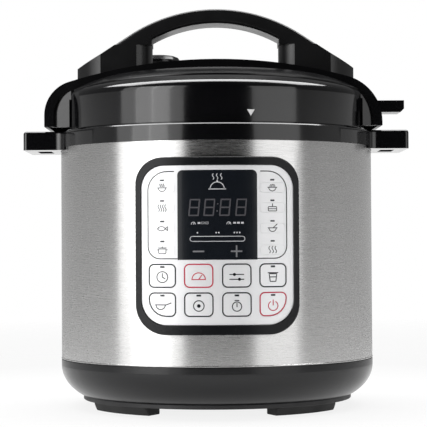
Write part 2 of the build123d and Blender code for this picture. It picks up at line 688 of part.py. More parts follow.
def handle_arch():
    arch = along_y(handle_outline(), -HANDLE_HALF, HANDLE_HALF)
    arch &= block((-130, 130), (-30, 30), (HANDLE_SPLIT, 350))
    opening = ThreePointArc((-OPENING_HALF, OPENING_SIDE), (0, OPENING_TOP), (OPENING_HALF, OPENING_SIDE))
    opening += Polyline(
        (OPENING_HALF, OPENING_SIDE), (OPENING_HALF, 260), (-OPENING_HALF, 260), (-OPENING_HALF, OPENING_SIDE),
    )
    arch -= along_y(make_face(opening), -HANDLE_HALF - 1, HANDLE_HALF + 1)
    flank_edges = [edge for edge in arch.edges() if abs(abs(edge.center().Y) - HANDLE_HALF) < 0.01]
    return fillet([edge for edge in flank_edges if edge.length > 40], 2.5)


def lid_plate():
    plate = turned(
        (0, LID_PLATE_Z), (117, LID_PLATE_Z), (117, 240.5), (123, 240.5), (123, 232.5), (124.2, 232.5),
        (124.2, 241.7), (118.2, 241.7), (118.2, LID_PLATE_Z + 1.2), (0, LID_PLATE_Z + 1.2),
    )
    lug = sector(119.6, 123.4, 232.5, 235.2, 0, LUG_SPAN / 2)
    for piece in around(lug, LUGS):
        plate += piece
    for x, y in LID_SCREWS:
        plate -= disc(2.1, 250, 260, x, y)
    plate -= disc(4.6, 250, 260, VALVE_X, VALVE_Y)
    return plate - disc(4.7, 250, 260, FLOAT_X, FLOAT_Y)


def lid_screws():
    heads = [disc(4, LID_PLATE_Z - 2.4, LID_PLATE_Z, x, y) for x, y in LID_SCREWS]
    shanks = [disc(2.0, LID_PLATE_Z - 1, 271, x, y) for x, y in LID_SCREWS]
    return Compound([head + shank for head, shank in zip(heads, shanks)])


def seal_rack():
    rack = Pos(0, 0, 247) * Torus(106.5, 1.4)
    leg = block((97, 106.2), (-1.5, 1.5), (246, 248)) + block((96, 98), (-1.5, 1.5), (246, LID_PLATE_Z))
    for piece in around(leg, 6, 30):
        rack += piece
    return rack


def sealing_ring():
    return turned(
        (104, 241.6), (105.5, 240.3), (115.5, 240.3), (116.7, 241.5),
        (116.7, 252.5), (115.5, 253.7), (104, 253.7), (104, 250), (109, 249.3), (109, 244.7), (104, 244.2),
    )


def steam_pipe():
    pipe = disc(4.5, 249, 300) + disc(8, LID_PLATE_Z + 1.2, LID_PLATE_Z + 4)
    return Pos(VALVE_X, VALVE_Y, 0) * (pipe - disc(1.6, 240, 310))


def pipe_nut():
    nut = extrude(RegularPolygon(8, 6), 3.4) - disc(4.55, -1, 5)
    return Pos(VALVE_X, VALVE_Y, LID_PLATE_Z - 3.4) * nut


def block_shield():
    shield = disc(15, 243, LID_PLATE_Z) - disc(14.2, 244, LID_PLATE_Z + 1)
    for cut in around(block((5, 20), (-1.6, 1.6), (245.5, 251)), 8):
        shield -= cut
    return Pos(VALVE_X, VALVE_Y, 0) * shield


def steam_valve():
    knob = turned(
        (4.56, 286.3), (8.5, 286.3), (8.5, 299.5), (13, 301.5), (VALVE_R - 1.5, 302.5), (VALVE_R, 304),
        (VALVE_R, 306.2), (VALVE_R - 1.6, 308.6), (VALVE_R - 5, VALVE_TOP - 0.6), (VALVE_R - 9, VALVE_TOP),
        (0, VALVE_TOP), (0, 301), (4.56, 301),
    )
    pointer = block((-2.5, 2.5), (VALVE_R - 2, VALVE_R + 4), (302.8, 306.5))
    return Pos(VALVE_X, VALVE_Y, 0) * (knob + pointer)


def float_valve():
    pin = disc(4.2, 246, 283.6) + disc(6.8, 246, 247.5)
    pin = fillet(pin.edges().sort_by(Axis.Z)[-1], 0.8)
    return Pos(FLOAT_X, FLOAT_Y, 0) * pin


def float_seal():
    return Pos(FLOAT_X, FLOAT_Y, 0) * tube(4.2, 7.0, 247.5, 249.4)


# ---- Rear ---------------------------------------------------------------------------------------

def mains_inlet():
    body = block((-INLET_HALF, INLET_HALF), (108, INLET_FACE), (INLET_LOW, INLET_HIGH))
    middle = (INLET_LOW + INLET_HIGH) / 2
    mouth = rounded(-12.2, 12.2, middle - 8.2, middle + 8.2, (1, 1, 4.5, 4.5))
    return body - along_y(mouth, 119, 140)


def inlet_pins():
    middle = (INLET_LOW + INLET_HIGH) / 2
    places = ((-7, middle - 2.5), (7, middle - 2.5), (0, middle + 2.5))
    pins = [block((x - 1, x + 1), (119, 129.5), (z - 2.5, z + 2.5)) for x, z in places]
    tails = [block((x - 1, x + 1), (104.2, 108), (z - 1.5, z + 1.5)) for x, z in places]
    return Compound(pins + tails)


def cup_bracket():
    high = CUP_HIGH + 6
    backing = tube(BAND_R + 0.05, BAND_R + 1.6, CUP_LOW - 4, high)
    backing &= block((-32, 32), (100, 160), (CUP_LOW - 4, high))
    for side in (-1, 1):
        wall = block(sorted((side * 29.2, side * 31.4)), (132, 140.6), (CUP_LOW - 2, high))
        lip = block(sorted((side * 27.2, side * 31.4)), (138.9, 140.6), (CUP_LOW - 2, high))
        backing += (wall + lip) - disc(BAND_R + 0.5, 150, 230)
    roof = block((-31.4, 31.4), (134.4, 140.6), (high - 1.8, high)) - disc(BAND_R + 0.5, 150, 230)
    return backing + roof


def condensation_cup():
    cup = block((-CUP_HALF, CUP_HALF), (CUP_BACK, CUP_FRONT), (CUP_LOW, CUP_HIGH))
    cup = fillet(cup.edges().filter_by(Axis.Z).group_by(Axis.Y)[-1], 3)
    cup = fillet(cup.edges().group_by(Axis.Z)[0].sort_by(Axis.Y)[-1], 2)
    cup -= block((-CUP_HALF + 1.4, CUP_HALF - 1.4), (CUP_BACK + 1.4, CUP_FRONT - 1.4), (CUP_LOW + 1.6, 260))
    for side in (-1, 1):
        span = sorted((side * (CUP_HALF - 0.5), side * 28.7))
        cup += block(span, (CUP_BACK, CUP_BACK + 2), (CUP_LOW, CUP_HIGH))
    return cup


# ---- Write every piece --------------------------------------------------------------------------

PIECES = {
    "base_shell": base_shell, "bottom_plate": bottom_plate, "feet": feet, "base_screws": base_screws,
    "housing_band": housing_band, "collar": collar, "handle_covers": handle_covers,
    "collar_screws": collar_screws, "outer_pot": outer_pot, "inner_pot": inner_pot,
    "heater_plate": heater_plate, "heating_element": heating_element, "sensor_bracket": sensor_bracket,
    "sensor_plunger": sensor_plunger, "sensor_spring": sensor_spring, "pressure_switch": pressure_switch,
    "power_board": power_board, "control_board": control_board, "display_module": display_module,
    "wire_harness": wire_harness, "panel_frame": panel_frame, "panel_face": panel_face,
    "display_window": display_window, "indicator_lenses": indicator_lenses, "lid_cover": lid_cover,
    "lid_strap": lid_strap, "handle_posts": handle_posts, "handle_arch": handle_arch,
    "lid_plate": lid_plate, "lid_screws": lid_screws, "seal_rack": seal_rack,
    "sealing_ring": sealing_ring, "steam_pipe": steam_pipe, "pipe_nut": pipe_nut,
    "block_shield": block_shield, "steam_valve": steam_valve, "float_valve": float_valve,
    "float_seal": float_seal, "mains_inlet": mains_inlet, "inlet_pins": inlet_pins,
    "cup_bracket": cup_bracket, "condensation_cup": condensation_cup,
}

os.makedirs("parts", exist_ok=True)
for node, make in PIECES.items():
    export_step(make(), f"parts/{node}.step")
for node in key_outlines():
    export_step(key(node), f"parts/{node}.step")
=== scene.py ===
"""Looks for the electric pressure cooker: materials, printed panel, lights, camera."""
import math

import bpy
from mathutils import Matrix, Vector
from mathutils.geometry import tessellate_polygon


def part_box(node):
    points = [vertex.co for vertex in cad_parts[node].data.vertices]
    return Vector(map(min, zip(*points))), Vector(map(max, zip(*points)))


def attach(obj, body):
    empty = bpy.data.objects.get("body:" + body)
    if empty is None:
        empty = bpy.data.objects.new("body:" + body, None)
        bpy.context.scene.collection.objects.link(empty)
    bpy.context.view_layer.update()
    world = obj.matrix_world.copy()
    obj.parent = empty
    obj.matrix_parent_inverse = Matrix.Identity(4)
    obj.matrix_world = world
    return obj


MM = 0.001

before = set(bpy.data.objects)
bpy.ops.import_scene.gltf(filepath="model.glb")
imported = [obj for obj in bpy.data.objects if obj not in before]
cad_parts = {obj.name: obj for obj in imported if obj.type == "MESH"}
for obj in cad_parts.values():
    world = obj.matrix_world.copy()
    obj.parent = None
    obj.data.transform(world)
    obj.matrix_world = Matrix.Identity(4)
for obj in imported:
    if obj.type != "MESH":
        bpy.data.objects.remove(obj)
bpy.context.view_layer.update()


# ---- Materials ----------------------------------------------------------------------------------

def new_material(name, color, roughness=0.4, metallic=0.0, **sockets):
    """A Principled material with its uniform values set on the shader itself."""
    mat = bpy.data.materials.new(name)
    mat.use_nodes = True
    shader = mat.node_tree.nodes["Principled BSDF"]
    shader.inputs["Base Color"].default_value = (*color, 1.0)
    shader.inputs["Roughness"].default_value = roughness
    shader.inputs["Metallic"].default_value = metallic
    for socket, value in sockets.items():
        shader.inputs[socket.replace("_", " ")].default_value = value
    return mat


def add(mat, kind, **values):
    """A new node of a material or world; values go to its sockets or, failing those, its settings."""
    node = mat.node_tree.nodes.new(kind)
    for name, value in values.items():
        if name in node.inputs:
            node.inputs[name].default_value = value
        else:
            setattr(node, name, value)
    return node


def join(mat, source, target):
    """Links one node's output to another's input."""
    mat.node_tree.links.new(source, target)


def find(node, name, kind="RGBA", out=False):
    """The socket of a Mix node that belongs to its data type."""
    sockets = node.outputs if out else node.inputs
    return next(s for s in sockets if s.name == name and s.type == kind)


def shader_of(mat):
    return mat.node_tree.nodes["Principled BSDF"]


def noise(mat, scale, detail=3.0, stretch=(1, 1, 1), rough=0.5):
    """Noise in the object's own space, in metres, drawn out along the small axes of stretch."""
    where = add(mat, "ShaderNodeTexCoord")
    mapping = add(mat, "ShaderNodeMapping")
    mapping.inputs["Scale"].default_value = stretch
    texture = add(mat, "ShaderNodeTexNoise")
    texture.inputs["Scale"].default_value = scale
    texture.inputs["Detail"].default_value = detail
    texture.inputs["Roughness"].default_value = rough
    join(mat, where.outputs["Object"], mapping.inputs["Vector"])
    join(mat, mapping.outputs["Vector"], texture.inputs["Vector"])
    return texture.outputs["Fac"]


def spread(mat, source, low, high, from_low=0.3, from_high=0.7):
    """Maps the source's range from_low to from_high onto low to high."""
    node = add(mat, "ShaderNodeMapRange")
    node.inputs["From Min"].default_value = from_low
    node.inputs["From Max"].default_value = from_high
    node.inputs["To Min"].default_value = low
    node.inputs["To Max"].default_value = high
    join(mat, source, node.inputs["Value"])
    return node.outputs["Result"]


def bump(mat, height, strength, distance, below=None):
    """A normal roughened by height; distance is in metres, below is the normal under it."""
    node = add(mat, "ShaderNodeBump")
    node.inputs["Strength"].default_value = strength
    node.inputs["Distance"].default_value = distance
    join(mat, height, node.inputs["Height"])
    if below is not None:
        join(mat, below, node.inputs["Normal"])
    return node.outputs["Normal"]


def moulded(name, color, rough_low, rough_high, grain, grain_depth, wave_depth=0.0, **sockets):
    """Moulded plastic or rubber: roughness that varies a little, fine grain, slow waves in the skin."""
    mat = new_material(name, color, rough_low, **sockets)
    shader = shader_of(mat)
    patch = noise(mat, 45, 4)
    join(mat, spread(mat, patch, rough_low, rough_high), shader.inputs["Roughness"])
    normal = bump(mat, noise(mat, grain, 2), 0.5, grain_depth)
    if wave_depth:
        normal = bump(mat, noise(mat, 38, 1), 0.3, wave_depth, normal)
    join(mat, normal, shader.inputs["Normal"])
    return mat


def round_coordinates(mat):
    """Position as (distance round the drum, height), so that grain can follow the drum."""
    where = add(mat, "ShaderNodeTexCoord")
    split = add(mat, "ShaderNodeSeparateXYZ")
    angle = add(mat, "ShaderNodeMath", operation="ARCTAN2")
    joined = add(mat, "ShaderNodeCombineXYZ")
    join(mat, where.outputs["Object"], split.inputs["Vector"])
    join(mat, split.outputs["X"], angle.inputs[0])
    join(mat, split.outputs["Y"], angle.inputs[1])
    join(mat, angle.outputs["Value"], joined.inputs["X"])
    join(mat, split.outputs["Z"], joined.inputs["Z"])
    return joined.outputs["Vector"]


def brushed_drum(name, color, roughness):
    """Steel brushed round the drum: streaks along the grain in height, colour and roughness."""
    mat = new_material(name, color, roughness, 1.0, Anisotropic=0.75, Anisotropic_Rotation=0.25)
    shader = shader_of(mat)
    tangent = add(mat, "ShaderNodeTangent", direction_type="RADIAL", axis="Z")
    join(mat, tangent.outputs["Tangent"], shader.inputs["Tangent"])
    around = round_coordinates(mat)
    streaks = []
    for drawn_out, scale, detail in ((0.007, 1400, 4), (0.0024, 420, 3)):
        mapping = add(mat, "ShaderNodeMapping")
        mapping.inputs["Scale"].default_value = (drawn_out, 1, 1)
        texture = add(mat, "ShaderNodeTexNoise")
        texture.inputs["Scale"].default_value = scale
        texture.inputs["Detail"].default_value = detail
        join(mat, around, mapping.inputs["Vector"])
        join(mat, mapping.outputs["Vector"], texture.inputs["Vector"])
        streaks.append(texture.outputs["Fac"])
    join(mat, spread(mat, streaks[0], roughness - 0.05, roughness + 0.06), shader.inputs["Roughness"])
    tint = add(mat, "ShaderNodeMix", data_type="RGBA")
    find(tint, "A").default_value = (*[c * 0.93 for c in color], 1)
    find(tint, "B").default_value = (*[min(1, c * 1.05) for c in color], 1)
    join(mat, streaks[1], tint.inputs["Factor"])
    join(mat, find(tint, "Result", out=True), shader.inputs["Base Color"])
    join(mat, bump(mat, streaks[0], 0.12, 0.00003), shader.inputs["Normal"])
    return mat


def flat_metal(name, color, low, high, grain=600, depth=0.00002, **sockets):
    """Unbrushed metal with roughness from low to high in slow patches and a fine grain."""
    mat = new_material(name, color, low, 1.0, **sockets)
    shader = shader_of(mat)
    join(mat, spread(mat, noise(mat, 60, 5), low, high), shader.inputs["Roughness"])
    join(mat, bump(mat, noise(mat, grain, 3), 0.3, depth), shader.inputs["Normal"])
    return mat


def satin_overlay(name, color):
    """The panel's satin silver film: fine metallic grain under a thin clear skin."""
    mat = new_material(name, color, 0.34, 0.25, Coat_Weight=0.25, Coat_Roughness=0.25)
    shader = shader_of(mat)
    flake = noise(mat, 2600, 2)
    join(mat, spread(mat, flake, 0.30, 0.40), shader.inputs["Roughness"])
    join(mat, bump(mat, flake, 0.08, 0.00002), shader.inputs["Normal"])
    return mat


def printed(name, color, roughness=0.45):
    """Screen-printed ink: nearly no sheen, slightly uneven."""
    mat = new_material(name, color, roughness, Specular_IOR_Level=0.1)
    shader = shader_of(mat)
    grain = noise(mat, 1500, 2)
    join(mat, spread(mat, grain, roughness - 0.08, roughness + 0.08), shader.inputs["Roughness"])
    return mat


CLEAR_SKIN = {"Coat_Weight": 0.3, "Coat_Roughness": 0.06}
GLOSS = moulded("gloss_black", (0.003, 0.003, 0.0036), 0.10, 0.16, 1400, 0.00001, 0.00006, **CLEAR_SKIN)
SATIN = moulded("satin_black", (0.0035, 0.0035, 0.004), 0.16, 0.22, 1800, 0.00001, 0.00005)
HANDLE = moulded("handle_black", (0.006, 0.006, 0.0065), 0.26, 0.32, 1800, 0.00001, 0.00005)
LOWER = moulded("base_black", (0.0035, 0.0037, 0.0045), 0.15, 0.22, 1500, 0.00002, 0.00006)
MATT = moulded("matt_black", (0.018, 0.018, 0.019), 0.45, 0.6, 900, 0.00008)
RUBBER = moulded("rubber_black", (0.016, 0.016, 0.016), 0.65, 0.8, 700, 0.0001)
DULL_SKIN = {"Specular_IOR_Level": 0.2}
BEZEL = moulded("bezel_black", (0.006, 0.0065, 0.0075), 0.22, 0.3, 1600, 0.00002, 0.00004, **DULL_SKIN)
DRUM = brushed_drum("brushed_steel", (0.66, 0.655, 0.65), 0.26)
POT = brushed_drum("pot_steel", (0.70, 0.69, 0.68), 0.2)
PRESSED = flat_metal("pressed_steel", (0.62, 0.62, 0.62), 0.18, 0.32)
BRIGHT = flat_metal("bright_steel", (0.72, 0.72, 0.72), 0.08, 0.18)
ALUMINIUM = flat_metal("cast_aluminium", (0.60, 0.60, 0.61), 0.32, 0.48, 300, 0.0001)
SHEATH = flat_metal("element_sheath", (0.22, 0.20, 0.19), 0.35, 0.55)
BRASS = flat_metal("pin_brass", (0.78, 0.66, 0.40), 0.15, 0.3)
RED = flat_metal("float_red", (0.55, 0.05, 0.04), 0.3, 0.4)
SOFT_SKIN = {"Subsurface_Weight": 0.2, "Subsurface_Scale": 0.004}
SILICONE = moulded("silicone", (0.74, 0.73, 0.70), 0.4, 0.5, 500, 0.00005, **SOFT_SKIN)
FACE = satin_overlay("panel_silver", (0.93, 0.93, 0.94))
DARK_GLASS = {"Specular_IOR_Level": 0.35, "Coat_Weight": 0.15, "Coat_Roughness": 0.08}
WINDOW = moulded("window_black", (0.008, 0.010, 0.0135), 0.12, 0.18, 1200, 0.00001, **DARK_GLASS)
LENS = moulded("lens_smoke", (0.035, 0.035, 0.04), 0.15, 0.2, 900, 0.00001)
SEE_THROUGH = {"Transmission_Weight": 0.85, "IOR": 1.49}
CLEAR = moulded("cup_clear", (0.86, 0.90, 0.92), 0.08, 0.14, 600, 0.00002, **SEE_THROUGH)
BOARD = moulded("solder_mask", (0.02, 0.12, 0.05), 0.35, 0.5, 900, 0.00006)
WIRES = moulded("wire_cover", (0.36, 0.35, 0.33), 0.5, 0.6, 900, 0.00004)
INK_DARK = printed("ink_dark", (0.008, 0.009, 0.012))
INK_RED = printed("ink_red", (0.55, 0.035, 0.075))
INK_WHITE = printed("ink_white", (0.62, 0.62, 0.64))
INK_SIGN = printed("ink_sign", (0.20, 0.20, 0.21))
INK_DIM = printed("segment_dim", (0.085, 0.082, 0.09))
MARK_WHITE = printed("mark_white", (0.9, 0.9, 0.9))

NODE_LOOKS = {
    GLOSS: ("lid_cover", "collar", "handle_covers"),
    SATIN: ("lid_strap", "steam_valve"),
    HANDLE: ("handle_posts", "handle_arch"),
    LOWER: ("base_shell",),
    MATT: ("bottom_plate", "cup_bracket", "mains_inlet", "display_module", "pressure_switch"),
    RUBBER: ("feet",),
    BEZEL: ("panel_frame",),
    DRUM: ("housing_band",),
    POT: ("inner_pot",),
    PRESSED: ("lid_plate", "block_shield", "sensor_bracket"),
    BRIGHT: (
        "seal_rack", "sensor_spring", "lid_screws", "base_screws", "collar_screws", "pipe_nut", "steam_pipe",
    ),
    ALUMINIUM: ("outer_pot", "heater_plate", "sensor_plunger"),
    SHEATH: ("heating_element",),
    BRASS: ("inlet_pins",),
    RED: ("float_valve",),
    SILICONE: ("sealing_ring", "float_seal"),
    FACE: ("panel_face",),
    WINDOW: ("display_window", "key_minus", "key_plus"),
    LENS: ("indicator_lenses",),
    CLEAR: ("condensation_cup",),
    BOARD: ("power_board", "control_board"),
    WIRES: ("wire_harness",),
}


def dress(node, mat):
    """Gives a CAD node its material."""
    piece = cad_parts[node]
    for place in piece.material_slots:
        place.material = mat
    if not piece.material_slots:
        piece.data.materials.append(mat)


for look, nodes in NODE_LOOKS.items():
    for node in nodes:
        dress(node, look)
KEYS = [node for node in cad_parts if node.startswith("key_")]
SILVER_KEYS = [node for node in KEYS if node not in ("key_minus", "key_plus")]
for node in SILVER_KEYS:
    dress(node, FACE)


# ---- Printed shapes on the curved panel ---------------------------------------------------------

FACE_R = -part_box("panel_face")[0].y      # radius of the panel's front
INK = 0.05 * MM                          # how far the ink stands proud
STEP = 1.2 * MM                          # longest straight piece of a printed line


def arc(x, z, radius, start, end, steps=14):
    """Points of an arc, angles in degrees."""
    turns = [math.radians(start + (end - start) * i / steps) for i in range(steps + 1)]
    return [(x + radius * math.cos(t), z + radius * math.sin(t)) for t in turns]


def ring(x, z, radius):
    """Points of a closed circle."""
    return arc(x, z, radius, 0, 360, 24)[:-1]


def wave(x, low, high, swing):
    """A short vertical wave of steam."""
    return [(x + swing * math.sin(2 * math.pi * i / 12), low + (high - low) * i / 12) for i in range(13)]


def rounded_outline(left, right, low, high, radii):
    """Corner radii: bottom left, bottom right, top right, top left."""
    bl, br, tr, tl = radii
    return (
        arc(left + bl, low + bl, bl, 180, 270, 6) + arc(right - br, low + br, br, 270, 360, 6)
        + arc(right - tr, high - tr, tr, 0, 90, 6) + arc(left + tl, high - tl, tl, 90, 180, 6)
    )


class Print:
    """Gathers printed strokes and patches in (x, z) metres and wraps them on a drum of the given radius."""

    def __init__(self, radius=FACE_R):
        self.radius = radius
        self.verts = []
        self.faces = []

    def point(self, x, z, height):
        """Adds a vertex at a height above the surface and returns its number."""
        reach = self.radius + height
        self.verts.append((x, -math.sqrt(reach * reach - x * x), z))
        return len(self.verts) - 1

    def stroke(self, points, width, closed=False):
        """A line of even width through the points, as a thin closed shell."""
        points = [Vector(p) for p in points]
        dense = []
        pairs = list(zip(points, points[1:] + points[:1] if closed else points[1:]))
        for a, b in pairs:
            count = max(1, math.ceil((b - a).length / STEP))
            dense += [a.lerp(b, i / count) for i in range(count)]
        if not closed:
            dense.append(points[-1])
        total = len(dense)
        rows = []
        for i, p in enumerate(dense):
            before = dense[i - 1] if closed or i else p
            after = dense[(i + 1) % total] if closed or i < total - 1 else p
            along = (after - before).normalized()
            side = Vector((-along.y, along.x)) * width / 2
            if not closed and i in (0, total - 1):
                p = p + along * (width / 2) * (1 if i else -1)
            left, right = p + side, p - side
            rows.append([
                self.point(left.x, left.y, INK), self.point(right.x, right.y, INK),
                self.point(right.x, right.y, -INK), self.point(left.x, left.y, -INK),
            ])
        for i in range(total if closed else total - 1):
            a, b = rows[i], rows[(i + 1) % total]
            for k in range(4):
                self.faces.append((a[k], a[(k + 1) % 4], b[(k + 1) % 4], b[k]))
        if not closed:
            self.faces.append(tuple(reversed(rows[0])))
            self.faces.append(tuple(rows[-1]))

    def patch(self, points):
        """A filled shape; its edge runs counter-clockwise as seen from the front."""
        top = [self.point(x, z, INK) for x, z in points]
        low = [self.point(x, z, -INK) for x, z in points]
        for a, b, c in tessellate_polygon([[Vector((x, z, 0)) for x, z in points]]):
            self.faces.append((top[a], top[b], top[c]))
            self.faces.append((low[c], low[b], low[a]))
        for i in range(len(points)):
            k = (i + 1) % len(points)
            self.faces.append((top[i], low[i], low[k], top[k]))

    def build(self, name, mat, body):
        """Makes the piece, which rides the named body."""
        mesh = bpy.data.meshes.new(name)
        mesh.from_pydata(self.verts, [], self.faces)
        piece = bpy.data.objects.new(name, mesh)
        bpy.context.scene.collection.objects.link(piece)
        make_outward(mesh)
        mesh.materials.append(mat)
        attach(piece, body)
        return piece


def make_outward(mesh):
    """Gives every closed shell of the mesh outward faces."""
    import bmesh
    work = bmesh.new()
    work.from_mesh(mesh)
    bmesh.ops.recalc_face_normals(work, faces=work.faces)
    work.to_mesh(mesh)
    work.free()


BOWL_R = 2.6
BOWL_Z = 0.2


def bowl():
    """A bowl with its rim, shared by several pictograms."""
    rim = [(-BOWL_R - 0.6, BOWL_Z), (BOWL_R + 0.6, BOWL_Z)]
    return [("line", rim), ("line", arc(0, BOWL_Z, BOWL_R, 180, 360))]


# Pictograms in millimetres about their own centre: "line" strokes, "loop" closed strokes, "dot" patches.
GRAINS = ((-1.6, 1.1), (-0.5, 1.1), (0.6, 1.1), (1.7, 1.1), (-1, 2), (0.1, 2.1), (1.2, 2))
ICONS = {
    "key_soup": bowl() + [("line", wave(x, 1.0, 2.9, 0.35)) for x in (-1.3, 0, 1.3)],
    "key_pasta": [("line", wave(x, -2.3, 2.3, 0.5)) for x in (-2.4, -0.8, 0.8, 2.4)],
    "key_fish": [
        ("line", arc(-0.6, -1.9, 3.4, 35, 145)), ("line", arc(-0.6, 1.9, 3.4, 215, 325)),
        ("line", [(2.2, 0.05), (3.9, 1.5), (3.9, -1.5), (2.2, -0.05)]), ("dot", ring(-2.2, 0.35, 0.35)),
    ],
    "key_stew": [
        ("loop", rounded_outline(-2.6, 2.6, -2.4, 0.9, (1, 1, 0.1, 0.1))),
        ("line", [(-3.6, 0.3), (-2.6, 0.3)]), ("line", [(2.6, 0.3), (3.6, 0.3)]),
        ("line", [(-2.8, 1.7), (2.8, 1.7)]), ("line", [(0, 1.7), (0, 2.5)]),
    ],
    "key_rice": bowl() + [("dot", ring(x, z, 0.42)) for x, z in GRAINS],
    "key_cake": [
        ("loop", rounded_outline(-3, 3, -2.4, 0.6, (0.5, 0.5, 0.5, 0.5))), ("line", [(-3, -0.9), (3, -0.9)]),
        ("line", [(0, 0.8), (0, 2.0)]), ("dot", ring(0, 2.5, 0.35)),
    ],
    "key_porridge": bowl() + [("line", [(0.6, 0.4), (3.2, 2.8)])],
    "key_steam": [("line", wave(x, -2.2, 2.4, 0.55)) for x in (-2.2, 0, 2.2)],
    "key_slow_cook": [("loop", ring(0, 0, 2.7)), ("line", [(0, 1.7), (0, 0), (1.3, -0.8)])],
    "key_pressure": [
        ("line", arc(0, -1.2, 3.3, 0, 180)), ("line", [(-3.3, -1.2), (3.3, -1.2)]),
        ("line", [(0, -1.2), (1.5, 0.9)]),
    ],
    "key_adjust": [
        ("line", [(-3.4, 1.2), (3.4, 1.2)]), ("line", [(-3.4, -1.2), (3.4, -1.2)]),
        ("dot", ring(-1.2, 1.2, 0.75)), ("dot", ring(1.3, -1.2, 0.75)),
    ],
    "key_yogurt": [
        ("loop", [(-1.9, 1.4), (-1.4, -2.4), (1.4, -2.4), (1.9, 1.4)]), ("line", [(-2.4, 1.9), (2.4, 1.9)]),
        ("line", [(-1.6, -0.2), (1.6, -0.2)]),
    ],
    "key_saute": [
        ("line", [(-3.4, 0.5), (1.6, 0.5)]), ("line", arc(-0.9, 0.5, 2.3, 180, 360)),
        ("line", [(1.6, 0.4), (4.2, 1.4)]),
    ],
    "key_manual": [("loop", ring(0, 0, 2.6)), ("dot", ring(0, 0, 0.9))],
    "key_timer": [
        ("loop", ring(0, -0.4, 2.3)), ("line", [(0, -0.4), (0, 1.1)]), ("line", [(-0.9, 2.6), (0.9, 2.6)]),
    ],
    "key_cancel": [("line", arc(0, -0.2, 2.4, 125, 415)), ("line", [(0, 0.2), (0, 2.6)])],
}
RED_KEYS = ("key_pressure", "key_cancel")
FLANGE = 0.92 * MM        # how far a key's hidden flange reaches past its pad
KEY_CORNER = 4.3 * MM
KEY_CUT = 13.9 * MM
OUTLINE = 0.95 * MM
SIDE_KEY_HIGH = 12 * MM   # keys lower than this are the narrow ones beside the window
SIDE_SCALE, MAIN_SCALE = 1.12, 1.6
SIDE_LINE, MAIN_LINE = 0.6 * MM, 0.75 * MM
MAIN_DROP = 1.0 * MM      # a large key's pictogram stands below its middle, clear of the lens


def pad_of(node):
    """The pad's edges in X and Z, from the key's box."""
    low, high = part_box(node)
    return low.x + FLANGE, high.x - FLANGE, low.z + FLANGE, high.z - FLANGE


def draw_icon(ink, shapes, x, z, width, scale=1.0):
    """Adds a pictogram, given in millimetres, to ink about the point (x, z)."""
    for kind, points in shapes:
        placed = [(x + px * scale * MM, z + pz * scale * MM) for px, pz in points]
        if kind == "dot":
            ink.patch(placed)
        else:
            ink.stroke(placed, width, closed=kind == "loop")


def print_key(node):
    """A key's pictogram and, on a large key, its outline."""
    left, right, low, high = pad_of(node)
    ink = Print()
    is_main = high - low > SIDE_KEY_HIGH
    if is_main:
        radii = [KEY_CORNER - OUTLINE / 2] * 4
        if node == "key_saute":
            radii[0] = KEY_CUT - OUTLINE / 2
        if node == "key_cancel":
            radii[1] = KEY_CUT - OUTLINE / 2
        inset = OUTLINE / 2
        edge = rounded_outline(left + inset, right - inset, low + inset, high - inset, radii)
        ink.stroke(edge, OUTLINE, closed=True)
    x, z = (left + right) / 2, (low + high) / 2
    if is_main:
        draw_icon(ink, ICONS[node], x, z - MAIN_DROP, MAIN_LINE, MAIN_SCALE)
    else:
        draw_icon(ink, ICONS[node], x, z, SIDE_LINE, SIDE_SCALE)
    look = INK_RED if node in RED_KEYS else INK_DARK
    ink.build("print_" + node, look, node)


for node in SILVER_KEYS:
    print_key(node)


# ---- Face lines and the display -----------------------------------------------------------------

window_low, window_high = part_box("display_window")
ZONE_OUT = 23.5 * MM      # how far a programme zone reaches past the window
ZONE_LINE = 0.8 * MM


def print_zone(side):
    """The line round one column of programme keys; it stops short of the window at the top."""
    inner = side * window_high.x
    outer = side * (window_high.x + ZONE_OUT)
    top, low = window_high.z - 1.0 * MM, window_low.z + 0.95 * MM
    big, small = 15 * MM, 9.5 * MM
    line = [(inner + side * 3 * MM, top)]
    line += [(side * abs(x), z) for x, z in arc(abs(outer) - big, top - big, big, 90, 0, 10)]
    line += [(side * abs(x), z) for x, z in arc(abs(outer) - small, low + small, small, 0, -90, 8)]
    line.append((inner + side * 0.3 * MM, low))
    return line


face_print = Print()
for side in (-1, 1):
    face_print.stroke(print_zone(side), ZONE_LINE)
face_print.build("print_zones", INK_DARK, "cooker")

DIGIT_W = 8.4 * MM
DIGIT_H = 13.6 * MM
SEGMENT = 1.15 * MM
SLANT = 0.10
DIGIT_LOW = window_low.z + 34.5 * MM
DIGIT_PLACES = (-18.2, -6.3, 6.1, 18.8)


def print_digit(ink, x):
    """Seven unlit segments, slightly slanted."""
    half_w, half_h = DIGIT_W / 2, DIGIT_H / 2
    gap = 0.75 * MM
    middle = DIGIT_LOW + half_h
    bars = []
    for z in (-half_h + SEGMENT / 2, 0, half_h - SEGMENT / 2):
        bars.append(((-half_w + gap, z), (half_w - gap, z)))
    for px in (-half_w + SEGMENT / 2, half_w - SEGMENT / 2):
        bars.append(((px, gap), (px, half_h - gap - SEGMENT / 2)))
        bars.append(((px, -half_h + gap + SEGMENT / 2), (px, -gap)))
    for a, b in bars:
        ink.stroke([(x + px + pz * SLANT, middle + pz) for px, pz in (a, b)], SEGMENT)


digits = Print()
for place in DIGIT_PLACES:
    print_digit(digits, place * MM)
for rise in (-2.8, 2.8):
    dot_x = (0.1 + rise * SLANT) * MM
    digits.patch(ring(dot_x, DIGIT_LOW + DIGIT_H / 2 + rise * MM, 0.62 * MM))
digits.build("print_digits", INK_DIM, "cooker")

display = Print()
FINE = 0.5 * MM
# Heights above the window's lower edge, in millimetres
EMBLEM_RISE, GAUGE_RISE, DOTS_RISE, SLIDER_RISE = 55.8, 28.2, 21.4, 14.6


